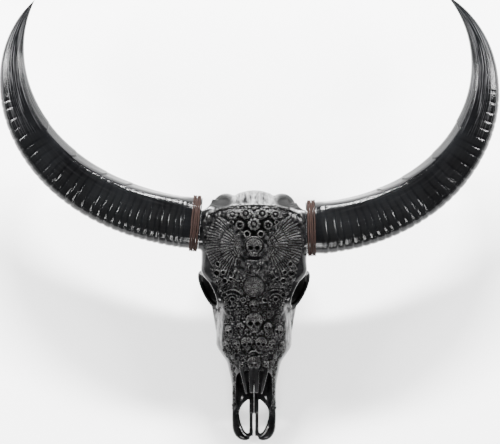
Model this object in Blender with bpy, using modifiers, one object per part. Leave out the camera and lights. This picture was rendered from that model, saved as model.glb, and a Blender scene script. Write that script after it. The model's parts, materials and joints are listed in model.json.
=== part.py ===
"""Carved skull of an Asian water buffalo with both horns, lying as it rests on its cheek teeth
and the two processes beside the occipital condyles, forehead up.

All sizes below are millimetres. In the skull's own frame X is sideways from the middle line,
Y runs from the front tips of the premaxillae towards the nape, and Z is up from the floor.
The whole is set down at the end with its bounding box centred over the world's origin.
"""

import math

import bmesh
import bpy
from mathutils import Matrix, Vector

MM = 0.001
GAP = 0.3

# Casting of the bones
VOXEL = 2.3
CRANIUM_TRIANGLES = 6800

# Horns: arc length, half width across the broad face, half thickness, and the heading of the
# axis in plan, in degrees outward of sideways, at the base, half way and at the tip.
HORN_ROOT_Z = 157.0
NECK_HALF_WIDTH = 53.0
NECK_HALF_THICKNESS = 41.0
NECK_LENGTH = 21.0
HORN_DIP = 34.0
HORN_RISE = 96.0
HORNS = {
    "left": dict(side=-1, root_x=110.0, root_y=448.0, length=696.0, half_width=53.5,
                 headings=(6, 48.5, 128), taper=2.85, slope=0.037, ridges=26),
    "right": dict(side=1, root_x=107.0, root_y=439.0, length=721.0, half_width=54.5, headings=(2, 54.7, 140.5),
                  taper=2.6, slope=0.088, ridges=25),
}
HORN_THINNESS = 0.79
RIDGED_SHARE = 0.66
RIDGE_HEIGHT = 1.9
HORN_SIDES = 16
TIP_RINGS = 15

# Cord wound round each horn's neck
CORD_DIAMETER = 3.8
CORD_TURNS = 4
CORD_POINTS_PER_TURN = 24

# Upper cheek teeth, front to back
TOOTH_LENGTHS = (18.0, 20.0, 22.0, 26.0, 29.0, 31.0)
TOOTH_SPACE = 1.2
TOOTH_ROW_START = 150.0
TOOTH_CROWN_TOP = 34.0

# Thin cuts between the bones
INCISIVE_CUT_Y = 106.0
INCISIVE_CUT_LEAN = math.radians(24)
NASAL_CUT_START = (84.0, 107.6)
NASAL_CUT_SLOPE = 0.285
NASAL_CUT_END = 258.0


def clear_scene():
    for obj in list(bpy.data.objects):
        bpy.data.objects.remove(obj)


def new_collection(name):
    collection = bpy.data.collections.new(name)
    bpy.context.scene.collection.children.link(collection)
    return collection


def make_material(name, colour, roughness, metallic=0.0):
    material = bpy.data.materials.new(name)
    material.use_nodes = True
    shader = material.node_tree.nodes["Principled BSDF"]
    shader.inputs["Base Color"].default_value = (*colour, 1.0)
    shader.inputs["Roughness"].default_value = roughness
    shader.inputs["Metallic"].default_value = metallic
    return material


def object_of(name, bm, collection):
    mesh = bpy.data.meshes.new(name)
    bm.to_mesh(mesh)
    bm.free()
    obj = bpy.data.objects.new(name, mesh)
    collection.objects.link(obj)
    return obj


def evaluated_mesh(obj):
    """The object's mesh with its modifiers, in world space."""
    graph = bpy.context.evaluated_depsgraph_get()
    mesh = bpy.data.meshes.new_from_object(obj.evaluated_get(graph), depsgraph=graph)
    mesh.transform(obj.matrix_world)
    return mesh


# Building blocks

def eased(stations, y):
    """Values at y on a smooth curve through rows of (y, value, value, ...)."""
    last = len(stations) - 1
    i = max(0, min(last - 1, sum(1 for row in stations if row[0] <= y) - 1))
    before, a, b, after = (stations[max(0, min(last, k))] for k in (i - 1, i, i + 1, i + 2))
    span = b[0] - a[0]
    t = (y - a[0]) / span
    values = []
    for k in range(1, len(a)):
        slope_a = (b[k] - before[k]) / (b[0] - before[0]) * span
        slope_b = (after[k] - a[k]) / (after[0] - a[0]) * span
        values.append(
            a[k] * (2 * t**3 - 3 * t**2 + 1)
            + slope_a * (t**3 - 2 * t**2 + t)
            + b[k] * (3 * t**2 - 2 * t**3)
            + slope_b * (t**3 - t**2)
        )
    return values


def rounded(angle, power):
    """Cosine and sine of an angle, squared off by the power of a superellipse."""
    c, s = math.cos(angle), math.sin(angle)
    return (math.copysign(abs(c) ** (2 / power), c), math.copysign(abs(s) ** (2 / power), s))


def loft(name, rings, collection):
    """A closed skin through rings of points, in millimetres."""
    bm = bmesh.new()
    rows = [[bm.verts.new(Vector(p) * MM) for p in ring] for ring in rings]
    count = len(rows[0])
    for a, b in zip(rows, rows[1:]):
        for i in range(count):
            j = (i + 1) % count
            bm.faces.new((a[i], a[j], b[j], b[i]))
    bm.faces.new(rows[0])
    bm.faces.new(reversed(rows[-1]))
    bm.normal_update()
    bmesh.ops.recalc_face_normals(bm, faces=bm.faces)
    return object_of(name, bm, collection)


def body_along_y(name, stations, top_power, low_power, collection, side=1, step=9.0):
    """A loft through rows of (y, half width, lowest z, z of the widest level, highest z) and,
    for a body to one side, how far its middle lies from the skull's."""
    start, end = stations[0][0], stations[-1][0]
    count = max(3, round((end - start) / step))
    rings = []
    for k in range(count + 1):
        y = start + (end - start) * k / count
        half_width, low, wide_at, high, *apart = eased(stations, min(y, end - 0.001))
        middle = side * apart[0] if apart else 0.0
        ring = []
        for i in range(32):
            angle = 2 * math.pi * i / 32
            upper = math.sin(angle) >= 0
            c, s = rounded(angle, top_power if upper else low_power)
            reach = high - wide_at if upper else wide_at - low
            ring.append((middle + half_width * c, y, wide_at + reach * s))
        rings.append(ring)
    return loft(name, rings, collection)


def ellipsoid(name, centre, radii, collection, turn=None):
    bm = bmesh.new()
    bmesh.ops.create_uvsphere(bm, u_segments=24, v_segments=14, radius=1.0)
    placed = Matrix.Translation(Vector(centre) * MM)
    if turn is not None:
        placed = placed @ turn.to_4x4()
    bm.transform(placed @ Matrix.Diagonal((*[r * MM for r in radii], 1.0)))
    bm.normal_update()
    bmesh.ops.recalc_face_normals(bm, faces=bm.faces)
    return object_of(name, bm, collection)


def box(name, low, high, collection, placed=None):
    bm = bmesh.new()
    bmesh.ops.create_cube(bm, size=1.0)
    size = [(h - l) * MM for l, h in zip(low, high)]
    centre = [(h + l) / 2 * MM for l, h in zip(low, high)]
    bm.transform(Matrix.Translation(centre) @ Matrix.Diagonal((*size, 1.0)))
    if placed is not None:
        bm.transform(placed)
        bm.normal_update()
        bmesh.ops.recalc_face_normals(bm, faces=bm.faces)
    return object_of(name, bm, collection)


def bar(name, points, radii, collection, closed=False):
    """A round bar along a smooth curve, with its own radius at each point."""
    curve = bpy.data.curves.new(name, "CURVE")
    curve.dimensions = "3D"
    curve.bevel_depth = MM
    curve.bevel_resolution = 3
    curve.resolution_u = 6
    curve.use_fill_caps = True
    spline = curve.splines.new("BEZIER")
    spline.bezier_points.add(len(points) - 1)
    spline.use_cyclic_u = closed
    for place, point, radius in zip(spline.bezier_points, points, radii):
        place.co = Vector(point) * MM
        place.radius = radius
        place.handle_left_type = place.handle_right_type = "AUTO"
    guide = bpy.data.objects.new(name, curve)
    collection.objects.link(guide)
    bm = bmesh.new()
    bm.from_mesh(evaluated_mesh(guide))
    bmesh.ops.remove_doubles(bm, verts=bm.verts, dist=1e-6)
    bpy.data.objects.remove(guide)
    return object_of(name, bm, collection)


def empty_of(collection):
    for obj in list(collection.objects):
        bpy.data.objects.remove(obj)


def joined(name, objects, collection):
    """One object holding the meshes of several, still overlapping."""
    bm = bmesh.new()
    for obj in objects:
        bm.from_mesh(evaluated_mesh(obj))
    return object_of(name, bm, collection)


def applied(obj):
    mesh = evaluated_mesh(obj)
    obj.modifiers.clear()
    obj.data = mesh
    return obj


def cast_in_one(obj, voxel, rounds):
    """Melts overlapping closed forms into one skin and softens it, as bone flows from part to part."""
    remesh = obj.modifiers.new("cast", "REMESH")
    remesh.mode = "VOXEL"
    remesh.voxel_size = voxel * MM
    smooth = obj.modifiers.new("soften", "SMOOTH")
    smooth.factor = 0.5
    smooth.iterations = rounds
    return applied(obj)


def boolean(obj, operation, collection, solver="EXACT"):
    cut = obj.modifiers.new(operation.lower(), "BOOLEAN")
    cut.operation = operation
    cut.operand_type = "COLLECTION"
    cut.collection = collection
    cut.solver = solver
    return applied(obj)


def islands(bm):
    """The mesh's separate surfaces, each a list of vertices, largest first by volume."""
    left, found = set(bm.verts), []
    while left:
        group, queue = set(), [left.pop()]
        while queue:
            vertex = queue.pop()
            group.add(vertex)
            for edge in vertex.link_edges:
                other = edge.other_vert(vertex)
                if other in left:
                    left.remove(other)
                    queue.append(other)
        found.append(group)
    return found


def island_object(name, bm, group, collection):
    """A new object from one separate surface of a mesh."""
    part = bmesh.new()
    made = {v: part.verts.new(v.co) for v in bm.verts if v in group}
    for face in bm.faces:
        if face.verts[0] in group:
            part.faces.new([made[v] for v in face.verts])
    return object_of(name, part, collection)


def volume_of(bm, group):
    total = 0.0
    for face in bm.faces:
        if face.verts[0] in group:
            corners = [v.co for v in face.verts]
            for b, c in zip(corners[1:], corners[2:]):
                total += corners[0].dot(b.cross(c)) / 6
    return total


# Horns

def horn_heading(horn, t):
    base, middle, tip = horn["headings"]
    bend = 2 * (tip + base - 2 * middle)
    return math.radians(base + (tip - base - bend) * t + bend * t * t)


def horn_frame(horn, s):
    """Centre, direction, outer side and upper side of the horn's section at arc length s."""
    side, length = horn["side"], horn["length"]
    x, y, steps = horn["root_x"], horn["root_y"], 60
    run = abs(s)
    ahead = math.copysign(run / steps, s)
    for k in range(steps):
        heading = horn_heading(horn, max(0.0, (k + 0.5) * ahead / length))
        x += math.cos(heading) * ahead
        y += math.sin(heading) * ahead
    heading = horn_heading(horn, max(0.0, s / length))
    beyond = max(0.0, s - NECK_LENGTH) / length
    z = HORN_ROOT_Z - HORN_DIP * beyond + HORN_RISE * beyond**2
    rise = (-HORN_DIP + 2 * HORN_RISE * beyond) / length if beyond > 0 else 0.0
    along = Vector((side * math.cos(heading), math.sin(heading), rise)).normalized()
    outer = Vector((side * math.sin(heading), -math.cos(heading), 0.0))
    upper = outer.cross(along) * side
    return Vector((side * x, y, z)), along, outer, upper


def horn_half_width(horn, s):
    t = min(1.0, max(0.0, s / horn["length"]))
    wide = horn["half_width"] * (1 - horn["slope"] * t - (1 - horn["slope"]) * t ** horn["taper"])
    if s >= NECK_LENGTH + 9:
        return wide
    blend = max(0.0, (s - NECK_LENGTH) / 9)
    return NECK_HALF_WIDTH + (wide - NECK_HALF_WIDTH) * blend


def horn_section(horn, s, swell=0.0, sides=HORN_SIDES, grow=0.0):
    """Ring of the horn: broad flat upper face, a rounded keel that wanders from the inner
    edge at the base to the middle of the upper face near the tip."""
    centre, _, outer, upper = horn_frame(horn, s)
    t = max(0.0, s / horn["length"])
    half_width = horn_half_width(horn, s)
    neck = min(1.0, max(0.0, (s - NECK_LENGTH) / 30))
    thinness = NECK_HALF_THICKNESS / NECK_HALF_WIDTH * (1 - neck) + HORN_THINNESS * neck
    thinness += 0.16 * max(0.0, t - 0.5)
    keel_angle = math.radians(140 - 45 * t)
    ring = []
    for i in range(sides):
        angle = 2 * math.pi * i / sides
        c, s_ = rounded(angle, 2.25)
        away = math.atan2(math.sin(angle - keel_angle), math.cos(angle - keel_angle))
        keel = 0.07 * neck * math.exp(-((away / 0.45) ** 2))
        flat = 0.05 * neck * math.exp(-(((angle - math.radians(65)) / 0.6) ** 2))
        ridged = 0.35 + 0.65 * math.cos((angle - math.radians(-10)) / 2) ** 2
        scale = 1 + keel - flat
        push = grow + swell * ridged
        u = (half_width * scale + push) * c
        v = (half_width * thinness * scale + push) * s_
        ring.append(centre + outer * u + upper * v)
    return ring


def make_horn(name, horn, collection):
    """The horn's sheath: a neck under the cord, then growth ridges, then a smooth tip."""
    rings = [horn_section(horn, s) for s in (GAP / 2, NECK_LENGTH)]
    first, last = NECK_LENGTH + 10, horn["length"] * RIDGED_SHARE
    pitch = (last - first) / horn["ridges"]
    for k in range(horn["ridges"]):
        fade = 1 - (k / horn["ridges"]) ** 3
        for place, height in ((0.15, -0.25), (0.68, 1.0)):
            s = first + (k + place) * pitch
            rings.append(horn_section(horn, s, swell=RIDGE_HEIGHT * height * fade))
    for k in range(TIP_RINGS):
        share = (k + 0.5) / TIP_RINGS
        s = last + (horn["length"] - last) * (1 - (1 - share) ** 1.35)
        rings.append(horn_section(horn, s))
    return loft(name, rings, collection)


# Bone

FACE = [
    (58, 44, 15, 30, 41), (91, 44, 19, 40, 66), (118, 46, 23, 48, 98), (144, 51, 25, 54, 130),
    (165, 56.5, 26, 58, 139), (182, 68, 26, 62, 144), (198, 77, 27, 65, 148), (212, 77.5, 27, 69, 152),
    (241, 77, 28, 78, 159), (280, 75, 30, 90, 168), (320, 68, 40, 100, 178), (352, 58, 52, 110, 184),
]
FRONTAL = [
    (258, 56, 125, 140, 162), (290, 74, 125, 147, 173), (302, 79, 126, 149, 177),
    (323, 90, 127, 152, 185), (348, 108, 127, 155, 194), (370, 108, 124, 156, 200),
    (395, 108, 119, 155, 205), (420, 107, 114, 154, 208), (450, 104, 112, 152, 207),
    (466, 99, 112, 150, 203), (478, 84, 116, 150, 198), (489.5, 48, 122, 150, 190),
]
BRAINCASE = [
    (296, 34, 62, 105, 160), (340, 50, 57, 105, 180), (390, 57, 54, 105, 190),
    (440, 64, 54, 105, 190), (480, 70, 56, 108, 184), (500, 62, 62, 112, 168),
]
NAPE = [
    (458, 95, 66, 128, 190), (474, 93, 58, 126, 184), (488, 83, 54, 122, 176),
    (499, 71, 56, 118, 165), (506, 58, 66, 114, 152),
]
NASAL_CAVITY = [
    (10, 43, 46, 70, 150), (62, 37, 36, 60, 150), (91, 37, 27, 55, 150), (118, 37, 28, 60, 150),
    (138, 37, 30, 64, 140), (150, 34, 31, 66, 129.5), (180, 34, 33, 72, 138), (215, 31, 37, 76, 142),
    (262, 14, 56, 84, 126),
]
ALVEOLAR = [
    (138, 6, 30, 46, 66, 38), (150, 9, 21, 46, 74, 40), (172, 11, 18, 48, 78, 46),
    (200, 12, 17, 50, 80, 51), (260, 13, 17, 56, 84, 54), (300, 12, 22, 60, 84, 54),
    (314, 7, 36, 62, 80, 53),
]
ORBIT_CENTRE = (91.0, 313.0, 132.0)
ORBIT_TURN_FORWARD = math.radians(26)
ORBIT_TURN_UP = math.radians(21)
ORBIT_HALF_LENGTH = 39.0
ORBIT_HALF_HEIGHT = 35.0
ORBIT_RIM_RADII = (3.4, 6.2)
ORBIT_DEPTH = 48.0


def orbit_axes(side):
    """Outward, lengthwise and upward axes of an eye socket's rim."""
    cf, sf = math.cos(ORBIT_TURN_FORWARD), math.sin(ORBIT_TURN_FORWARD)
    cu, su = math.cos(ORBIT_TURN_UP), math.sin(ORBIT_TURN_UP)
    outward = Vector((side * cf * cu, -sf * cu, su))
    lengthwise = Vector((side * sf, cf, 0.0))
    upward = Vector((-side * cf * su, sf * su, cu))
    return outward, lengthwise, upward


def mirrored_x(points, side):
    return [(side * x, y, z) for x, y, z in points]


def massive_forms(collection):
    """The thick bodies of the skull: face, forehead, braincase, nape, tooth sockets, horn cores."""
    body_along_y("face", FACE, 2.5, 2.6, collection)
    body_along_y("forehead", FRONTAL, 2.5, 2.0, collection)
    body_along_y("braincase", BRAINCASE, 2.2, 2.2, collection)
    body_along_y("nape", NAPE, 2.6, 2.2, collection)
    ellipsoid("crown_dome", (0, 472, 134), (61, 45.5, 45), collection)
    for side in (-1, 1):
        body_along_y("sockets", ALVEOLAR, 2.6, 3.0, collection, side=side)
        cheek = [(64, 258, 90), (73, 288, 91), (87, 316, 91), (98, 346, 94)]
        bar("cheek", mirrored_x(cheek, side), [11, 15, 16.5, 14.5], collection)
        ellipsoid("crown_lobe", (side * 57, 477, 132), (30, 34, 38), collection)
        horn = HORNS["left" if side < 0 else "right"]
        rings = [horn_section(horn, s, sides=32, grow=g)
                 for s, g in ((-52, -16.0), (-40, -5.0), (-26, 0.0), (-12, 0.0), (8, -0.4))]
        loft("horn_core", rings, collection)


def hollows(collection):
    """What is taken out of the thick bodies."""
    body_along_y("nasal_cavity", NASAL_CAVITY, 3.0, 2.6, collection)
    ellipsoid("choanae", (0, 328, 52), (19, 36, 26), collection)
    ellipsoid("foramen_magnum", (0, 498, 86), (18, 46, 18), collection)
    for side in (-1, 1):
        outward, lengthwise, upward = orbit_axes(side)
        turn = Matrix((outward, lengthwise, upward)).transposed()
        x, y, z = ORBIT_CENTRE
        centre = Vector((side * x, y, z)) - outward * 4
        radii = (ORBIT_DEPTH, ORBIT_HALF_LENGTH - 1, ORBIT_HALF_HEIGHT - 1)
        ellipsoid("eye_socket", centre, radii, collection, turn)
        ellipsoid("temporal_fossa", (side * 88, 399, 98), (26, 49, 40), collection)
        ellipsoid("crown_hollow", (side * 66, 505, 182), (34, 22, 27), collection)
        ellipsoid("horn_notch", (side * 113, 501, 157), (27, 29, 80), collection)


def slender_forms(collection):
    """Arches, rims, bars and knobs that stand out from the thick bodies."""
    for side in (-1, 1):
        outward, lengthwise, upward = orbit_axes(side)
        x, y, z = ORBIT_CENTRE
        centre = Vector((side * x, y, z))
        rim, rim_radii = [], []
        thin, thick = ORBIT_RIM_RADII
        for k in range(16):
            angle = 2 * math.pi * k / 16
            rim.append(centre + lengthwise * (ORBIT_HALF_LENGTH * math.cos(angle))
                       + upward * (ORBIT_HALF_HEIGHT * math.sin(angle)))
            rim_radii.append(thin + (thick - thin) * (0.5 + 0.5 * math.sin(angle)))
        bar("orbit_rim", rim, rim_radii, collection, closed=True)
        for name, points, radii in (
            ("zygomatic_arch",
             [(98, 338, 103), (99, 366, 99), (94, 402, 98), (80, 430, 101), (56, 444, 98)],
             [7.5, 8, 8.5, 11, 14]),
            ("facial_crest",
             [(80, 288, 100), (75, 262, 90), (71, 232, 78), (67, 206, 65), (58, 184, 55)],
             [9, 9, 8, 8, 5]),
            ("lateral_bar",
             [(39, 132, 42), (38.5, 92, 35), (38, 62, 31), (36.5, 42, 28), (32.5, 24, 24.5),
              (26, 14, 23), (17, 10, 21.5), (9, 11, 21)],
             [7.5, 6.8, 7, 8.6, 11, 10.5, 8.5, 5.8]),
            ("medial_bar", [(6.2, 11, 21), (5.9, 30, 22), (5.9, 66, 25)], [4.4, 3.9, 3.7]),
            ("nasal_spike",
             [(27, 162, 137.4), (24.5, 144, 131.6), (20, 122, 123.8), (15.5, 99, 115.6)],
             [4.6, 4.6, 3.8, 2.8]),
            ("paracondylar_process", [(62, 484, 92), (60, 482, 46), (53, 478, -3)], [14, 10, 7]),
            ("pterygoid", [(22, 300, 42), (24, 326, 46), (26, 356, 62)], [4.5, 4, 6]),
        ):
            bar(name, mirrored_x(points, side), radii, collection)
        ellipsoid("condyle", (side * 25, 499, 62), (16, 14, 25), collection)
        ellipsoid("bulla", (side * 36, 452, 50), (13, 22, 17), collection)
        ellipsoid("ear_root", (side * 62, 456, 84), (16, 20, 16), collection)
    bar("collar", [(-7, 66, 25.5), (0, 67, 26), (7, 66, 25.5)], [4.6, 4.8, 4.6], collection)
    bar("vomer", [(0, 66, 26), (0, 92, 27), (0, 150, 36), (0, 235, 58)], [5.2, 6, 6.5, 9],
        collection)
    bar("skull_base", [(0, 352, 66), (0, 420, 60), (0, 486, 62)], [15, 16, 17], collection)
    for offset in (-5.5, 5.5):
        bar("nasal_tongue", [(offset, 160, 137.6), (offset, 130, 127.7), (offset * 0.95, 101, 117.6)],
            [5.6, 5.2, 3.8], collection)


def palate_window(side, collection):
    """Cutter for the long opening between the two bars of one premaxilla."""
    outline = [(9.8, 88), (18, 82), (28, 70), (30.5, 60), (28, 44), (23, 28), (17, 18.5), (11.5, 22),
               (9.8, 45), (9.8, 70)]
    rings = [[(side * x, y, z) for x, y in outline] for z in (-5.0, 60.0)]
    loft("palate_window", rings, collection)


def joint_cutter(horn, collection):
    """Everything beyond the flat end of the horn core, where the sheath begins."""
    centre, along, outer, upper = horn_frame(horn, 0.0)
    turn = Matrix((outer, upper, along)).transposed().to_4x4()
    placed = Matrix.Translation(centre * MM) @ turn
    reach = 75
    box("horn_joint", (-reach, -reach, -GAP / 2), (reach, reach, 60), collection, placed)


def bone_cuts(collection):
    """Thin cuts that part the premaxillae and the nasal bones from the rest of the skull."""
    half = GAP / 2
    (y0, z0), slope = NASAL_CUT_START, NASAL_CUT_SLOPE
    lean = math.tan(INCISIVE_CUT_LEAN)
    meet = (z0 + slope * (INCISIVE_CUT_Y - y0)) / (1 - slope * lean)
    top = meet / math.cos(INCISIVE_CUT_LEAN) + 0.6
    placed = Matrix.Translation(Vector((0, INCISIVE_CUT_Y, 0)) * MM)
    placed = placed @ Matrix.Rotation(-INCISIVE_CUT_LEAN, 4, "X")
    box("incisive_suture", (-70, -half, -20), (70, half, top), collection, placed)
    box("middle_suture", (-half, -150, -95), (half, 0, 88), collection, placed)
    box("middle_suture", (-half, -8, 80), (half, 0, top), collection, placed)
    placed = Matrix.Translation(Vector((0, y0, z0)) * MM)
    placed = placed @ Matrix.Rotation(math.atan(slope), 4, "X")
    reach = (NASAL_CUT_END - y0) / math.cos(math.atan(slope))
    box("nasal_suture", (-50, -10, -half), (50, reach, half), collection, placed)
    box("nasal_root", (-50, reach - GAP, -half), (50, reach, 40), collection, placed)


def tooth(name, side, start, length, place, collection):
    """One cheek tooth: a squared crown with an outer rib, its grinding face on the floor."""
    centre_x = 41 + 13 * math.sin(math.pi / 2 * place**0.8)
    half_width = 7.6 + 3.6 * place
    rings = []
    for z, grow in ((-1.5, -1.0), (2.0, 0.0), (14.0, 0.3), (TOOTH_CROWN_TOP, -0.6)):
        ring = []
        for i in range(12):
            angle = 2 * math.pi * (i + 0.5) / 12
            c, s = rounded(angle, 4.0)
            rib = 1.1 * abs(math.sin(2 * angle)) if c > 0.6 else 0.0
            x = centre_x + (half_width + grow) * c + rib
            ring.append((side * x, start + length / 2 + (length / 2 + grow * 0.4) * s, z))
        rings.append(ring)
    return loft(name, rings, collection)


def make_teeth(collection):
    for side in (-1, 1):
        start = TOOTH_ROW_START
        for k, length in enumerate(TOOTH_LENGTHS):
            tooth("tooth", side, start, length, k / (len(TOOTH_LENGTHS) - 1), collection)
            start += length + TOOTH_SPACE


def make_bones(collection, forms, cutters):
    """The whole skull cast in one, hollowed, then parted into its named bones."""
    massive_forms(forms)
    skull = joined("skull", forms.objects, collection)
    empty_of(forms)
    cast_in_one(skull, VOXEL, 4)
    hollows(cutters)
    boolean(skull, "DIFFERENCE", cutters, "MANIFOLD")
    empty_of(cutters)

    slender_forms(forms)
    whole = joined("whole", [skull, *forms.objects], collection)
    bpy.data.objects.remove(skull)
    empty_of(forms)
    cast_in_one(whole, VOXEL, 3)
    thin = whole.modifiers.new("thin_out", "DECIMATE")
    thin.ratio = CRANIUM_TRIANGLES / (2 * len(whole.data.polygons))
    applied(whole)

    make_teeth(forms)
    boolean(whole, "UNION", forms, "MANIFOLD")
    empty_of(forms)
    for side in (-1, 1):
        palate_window(side, cutters)
        joint_cutter(HORNS["left" if side < 0 else "right"], cutters)
    box("floor", (-150, -50, -60), (150, 560, 0), cutters)
    boolean(whole, "DIFFERENCE", cutters, "MANIFOLD")
    empty_of(cutters)
    bone_cuts(cutters)
    boolean(whole, "DIFFERENCE", cutters, "MANIFOLD")
    empty_of(cutters)

    bm = bmesh.new()
    bm.from_mesh(whole.data)
    bpy.data.objects.remove(whole)
    groups = sorted(islands(bm), key=lambda group: -volume_of(bm, group))
    bones = {}
    for group in groups:
        centre = sum((v.co for v in group), Vector()) / len(group) / MM
        if "cranium" not in bones:
            name = "cranium"
        elif centre.z > 100:
            name = "nasal_bones"
        else:
            name = "premaxilla_left" if centre.x < 0 else "premaxilla_right"
        if name not in bones:
            bones[name] = island_object(name, bm, group, collection)
    bm.free()
    return bones


# Cord

def make_binding(name, horn, collection):
    """Cord wound close round the horn's neck, over the joint between horn core and sheath."""
    radius = CORD_DIAMETER / 2
    pitch = CORD_DIAMETER + 0.35
    start = 0.5 + radius
    count = CORD_TURNS * CORD_POINTS_PER_TURN
    curve = bpy.data.curves.new(name, "CURVE")
    curve.dimensions = "3D"
    curve.bevel_depth = radius * MM
    curve.bevel_resolution = 1
    curve.use_fill_caps = True
    spline = curve.splines.new("POLY")
    spline.points.add(count - 1)
    for k in range(count):
        turn = k / CORD_POINTS_PER_TURN
        angle = 2 * math.pi * turn - math.pi / 2
        centre, along, outer, upper = horn_frame(horn, start)
        c, s = rounded(angle, 2.25)
        clear = radius + 0.75
        point = (centre + along * (pitch * turn) + outer * ((NECK_HALF_WIDTH + clear) * c)
                 + upper * ((NECK_HALF_THICKNESS + clear) * s))
        spline.points[k].co = (*(point * MM), 1.0)
    obj = bpy.data.objects.new(name, curve)
    collection.objects.link(obj)
    return obj


def set_down(objects, frame):
    """Centres the bounding box over the origin, with the floor at zero."""
    corners = []
    for obj in objects:
        mesh = evaluated_mesh(obj)
        corners += [v.co.copy() for v in mesh.vertices]
        bpy.data.meshes.remove(mesh)
    low = [min(c[i] for c in corners) for i in range(3)]
    high = [max(c[i] for c in corners) for i in range(3)]
    for obj in objects:
        obj.parent = frame
    frame.location = (-(low[0] + high[0]) / 2, -(low[1] + high[1]) / 2, -low[2])


def main():
    clear_scene()
    collection = new_collection("carved_buffalo_skull")
    forms = new_collection("forms")
    cutters = new_collection("cutters")
    bone = make_material("blackened_bone", (0.035, 0.035, 0.037), 0.38)
    horn = make_material("polished_horn", (0.022, 0.021, 0.022), 0.22)
    cord = make_material("brown_cord", (0.17, 0.09, 0.055), 0.9)

    made = []
    for obj in make_bones(collection, forms, cutters).values():
        obj.data.materials.append(bone)
        made.append(obj)
    for side, shape in HORNS.items():
        sheath = make_horn("horn_" + side, shape, collection)
        sheath.data.materials.append(horn)
        sheath.data.shade_smooth()
        binding = make_binding("binding_" + side, shape, collection)
        binding.data.materials.append(cord)
        made += [sheath, binding]
    frame = bpy.data.objects.new("skull_frame", None)
    collection.objects.link(frame)
    set_down(made, frame)
    for spare in (forms, cutters):
        bpy.data.collections.remove(spare)


main()
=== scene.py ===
import json
import math

import bmesh
import bpy
import numpy as np
from mathutils import Matrix, Vector

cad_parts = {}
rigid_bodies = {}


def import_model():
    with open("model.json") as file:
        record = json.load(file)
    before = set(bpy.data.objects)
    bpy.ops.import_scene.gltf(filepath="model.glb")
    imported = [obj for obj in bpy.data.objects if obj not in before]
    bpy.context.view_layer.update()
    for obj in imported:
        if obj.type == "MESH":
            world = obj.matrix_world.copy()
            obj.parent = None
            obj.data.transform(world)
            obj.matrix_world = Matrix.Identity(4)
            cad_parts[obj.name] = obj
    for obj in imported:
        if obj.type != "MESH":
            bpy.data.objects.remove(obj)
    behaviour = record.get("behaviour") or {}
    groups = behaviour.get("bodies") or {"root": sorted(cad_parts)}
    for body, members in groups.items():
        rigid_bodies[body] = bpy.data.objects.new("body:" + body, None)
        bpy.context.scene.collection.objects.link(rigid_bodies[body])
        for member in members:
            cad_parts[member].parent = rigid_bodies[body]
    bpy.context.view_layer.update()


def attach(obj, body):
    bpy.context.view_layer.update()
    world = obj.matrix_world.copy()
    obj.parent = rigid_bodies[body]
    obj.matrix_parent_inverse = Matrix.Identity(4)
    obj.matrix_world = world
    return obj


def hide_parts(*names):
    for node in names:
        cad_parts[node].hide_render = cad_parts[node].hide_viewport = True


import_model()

# Skull bones. A real water buffalo skull, cleaned, blackened and rubbed back to a graphite sheen.
# Forehead and nose are carved in relief a few millimetres deep; sides, crown and rims are polished, and
# their sheen is painted into the colour as silvery grey.
# Sizes are millimetres in the skull's own frame: X from its middle line, Y from the nose, Z up.

MM = 0.001
GAP = 0.3
SKULL_PLACE = Vector((9.307, -458.061, 0.0))
RING_SIDES = 64

FACE = [
    (58, 44, 15, 30, 41), (91, 44, 19, 40, 66), (118, 46, 23, 48, 98), (144, 51, 25, 54, 130),
    (165, 56.5, 26, 58, 139), (182, 68, 26, 62, 144), (198, 77, 27, 65, 148), (212, 77.5, 27, 69, 152),
    (241, 77, 28, 78, 159), (280, 75, 30, 90, 168), (320, 68, 40, 100, 178), (352, 58, 52, 110, 184),
]
FRONTAL = [
    (258, 56, 125, 140, 162), (290, 74, 125, 147, 173), (302, 79, 126, 149, 177),
    (323, 90, 127, 152, 185), (348, 108, 127, 155, 194), (370, 108, 124, 156, 200),
    (395, 108, 119, 155, 205), (420, 107, 114, 154, 208), (450, 104, 112, 152, 207),
    (466, 99, 112, 150, 203), (478, 84, 116, 150, 198), (489.5, 48, 122, 150, 190),
]
BRAINCASE = [
    (296, 34, 62, 105, 160), (340, 50, 57, 105, 180), (390, 57, 54, 105, 190),
    (440, 64, 54, 105, 190), (480, 70, 56, 108, 184), (500, 62, 62, 112, 168),
]
NAPE = [
    (458, 95, 66, 128, 190), (474, 93, 58, 126, 184), (488, 83, 54, 122, 176),
    (499, 71, 56, 118, 165), (506, 58, 66, 114, 152),
]
NASAL_CAVITY = [
    (10, 43, 46, 70, 150), (62, 37, 36, 60, 150), (91, 37, 27, 55, 150), (118, 37, 28, 60, 150),
    (138, 37, 30, 64, 140), (150, 34, 31, 66, 129.5), (180, 34, 33, 72, 138), (215, 31, 37, 76, 142),
    (262, 14, 56, 84, 126),
]
ALVEOLAR = [
    (138, 6, 30, 46, 66, 38), (150, 9, 21, 46, 74, 40), (172, 11, 18, 48, 78, 46),
    (200, 12, 17, 50, 80, 51), (260, 13, 17, 56, 84, 54), (300, 12, 22, 60, 84, 54),
    (314, 7, 36, 62, 80, 53),
]
ORBIT_CENTRE = (91.0, 313.0, 132.0)
ORBIT_FORWARD, ORBIT_UP = math.radians(26), math.radians(21)
ORBIT_HALF_LENGTH, ORBIT_HALF_HEIGHT, ORBIT_DEPTH = 39.0, 35.0, 48.0
INCISIVE_Y, INCISIVE_LEAN = 106.0, math.radians(24)
NASAL_START, NASAL_SLOPE, NASAL_END = (84.0, 107.6), 0.285, 258.0

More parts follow.
